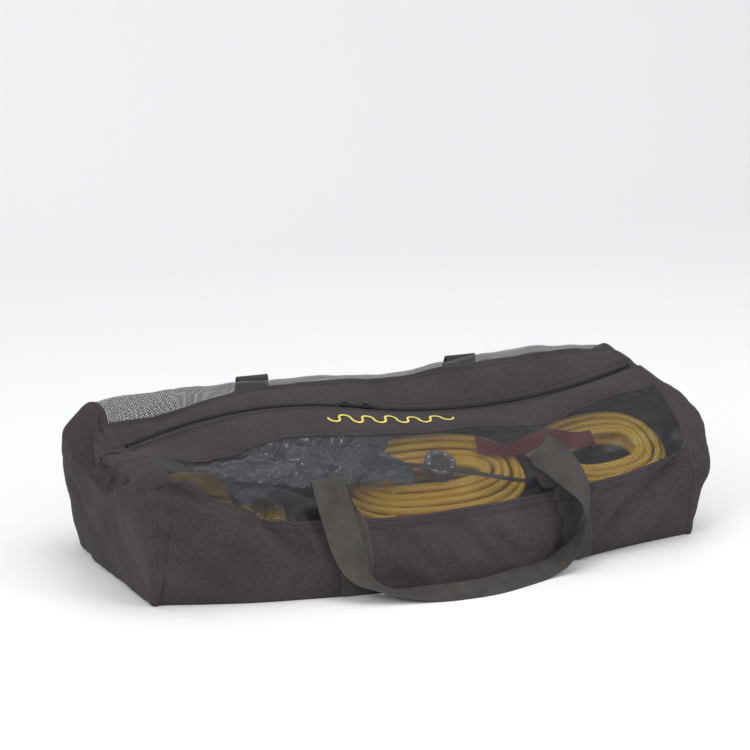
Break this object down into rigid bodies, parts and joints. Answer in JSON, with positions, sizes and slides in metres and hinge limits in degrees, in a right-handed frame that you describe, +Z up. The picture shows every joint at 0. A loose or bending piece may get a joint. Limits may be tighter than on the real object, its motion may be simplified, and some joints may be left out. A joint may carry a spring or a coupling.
{
  "type": "mesh gear duffel",
  "caption": "Long zipped duffel with cloth base and ends, net upper sides and webbing handles, holding coils of yellow hose.",
  "frame": {"origin": "middle of the flat base, on the surface the bag rests on", "axes": "+X along the bag to the end of the zip that lies higher, +Y to the back, +Z up"},
  "size_m": [0.91, 0.5655, 0.252],
  "materials": {
    "cloth": "matt black woven polyester",
    "net": "black coated polyester netting",
    "webbing": "ribbed black polypropylene webbing",
    "zip_tape": "black woven tape",
    "zip_coil": "black nylon coil",
    "slider_metal": "black painted zinc",
    "thread": "yellow embroidery thread",
    "hose": "glossy yellow vinyl hose",
    "fitting_metal": "turned brass",
    "valve_plastic": "black moulded plastic",
    "valve_metal": "polished ring",
    "pouch_vinyl": "dark blue-grey vinyl, glossy",
    "harness": "dark red webbing"
  },
  "bodies": {
    "bag": {"bottom_panel": "cloth", "front_lower_panel": "cloth", "back_lower_panel": "cloth", "front_top_band": "cloth", "back_top_band": "cloth", "left_end_panel": "cloth", "right_end_panel": "cloth", "left_zip_end_tab": "cloth", "right_zip_end_tab": "cloth", "front_mesh_panel": "net", "back_mesh_panel": "net", "front_zip_tape": "zip_tape", "front_zip_coil": "zip_coil", "front_left_handle_leg": "webbing", "front_right_handle_leg": "webbing", "back_zip_tape": "zip_tape", "back_zip_coil": "zip_coil", "back_left_handle_leg": "webbing", "back_right_handle_leg": "webbing", "embroidered_wave": "thread", "left_hose_coil": "hose", "left_hose_inlet_fitting": "fitting_metal", "left_hose_outlet_fitting": "fitting_metal", "middle_hose_coil": "hose", "middle_hose_inlet_fitting": "fitting_metal", "middle_hose_outlet_fitting": "fitting_metal", "right_hose_coil": "hose", "right_hose_inlet_fitting": "fitting_metal", "right_hose_outlet_fitting": "fitting_metal", "valve_body": "valve_plastic", "valve_cover": "valve_metal", "folded_pouch": "pouch_vinyl", "harness_strap": "harness"},
    "front_handle": {"front_handle_loop": "webbing"},
    "back_handle": {"back_handle_loop": "webbing"},
    "left_slider": {"left_slider": "slider_metal"},
    "left_pull": {"left_pull_tab": "slider_metal"},
    "right_slider": {"right_slider": "slider_metal"},
    "right_pull": {"right_pull_tab": "slider_metal"},
    "valve_button": {"valve_button": "valve_plastic"}
  },
  "joints": [
    {"name": "front_handle_swing", "type": "hinge", "parent": "bag", "child": "front_handle", "pos_m": [0, -0.20325, 0.17], "axis": [-1, 0, 0], "range_deg": [0, 160]},
    {"name": "back_handle_swing", "type": "hinge", "parent": "bag", "child": "back_handle", "pos_m": [0, 0.17525, 0.234], "axis": [1, 0, 0], "range_deg": [0, 145]},
    {"name": "left_slider_travel", "type": "hinge", "parent": "bag", "child": "left_slider", "pos_m": [-0.19, 0, -0.472], "axis": [0, -1, 0], "range_deg": [0, 27.07]},
    {"name": "right_slider_travel", "type": "hinge", "parent": "bag", "child": "right_slider", "pos_m": [0.14029, 0, 1.19561], "axis": [0, -1, 0], "range_deg": [0, 25.15]},
    {"name": "left_pull_flip", "type": "hinge", "parent": "left_slider", "child": "left_pull", "pos_m": [-0.07014, 0, 0.22279], "axis": [0, -1, 0], "range_deg": [0, 150]},
    {"name": "right_pull_flip", "type": "hinge", "parent": "right_slider", "child": "right_pull", "pos_m": [-0.0361, 0, 0.21642], "axis": [0, -1, 0], "range_deg": [0, 150]},
    {"name": "valve_button_press", "type": "slide", "parent": "bag", "child": "valve_button", "axis": [0, 0.5592, -0.829], "range_m": [0, 0.003], "stiffness_N_per_m": 400}
  ]
}
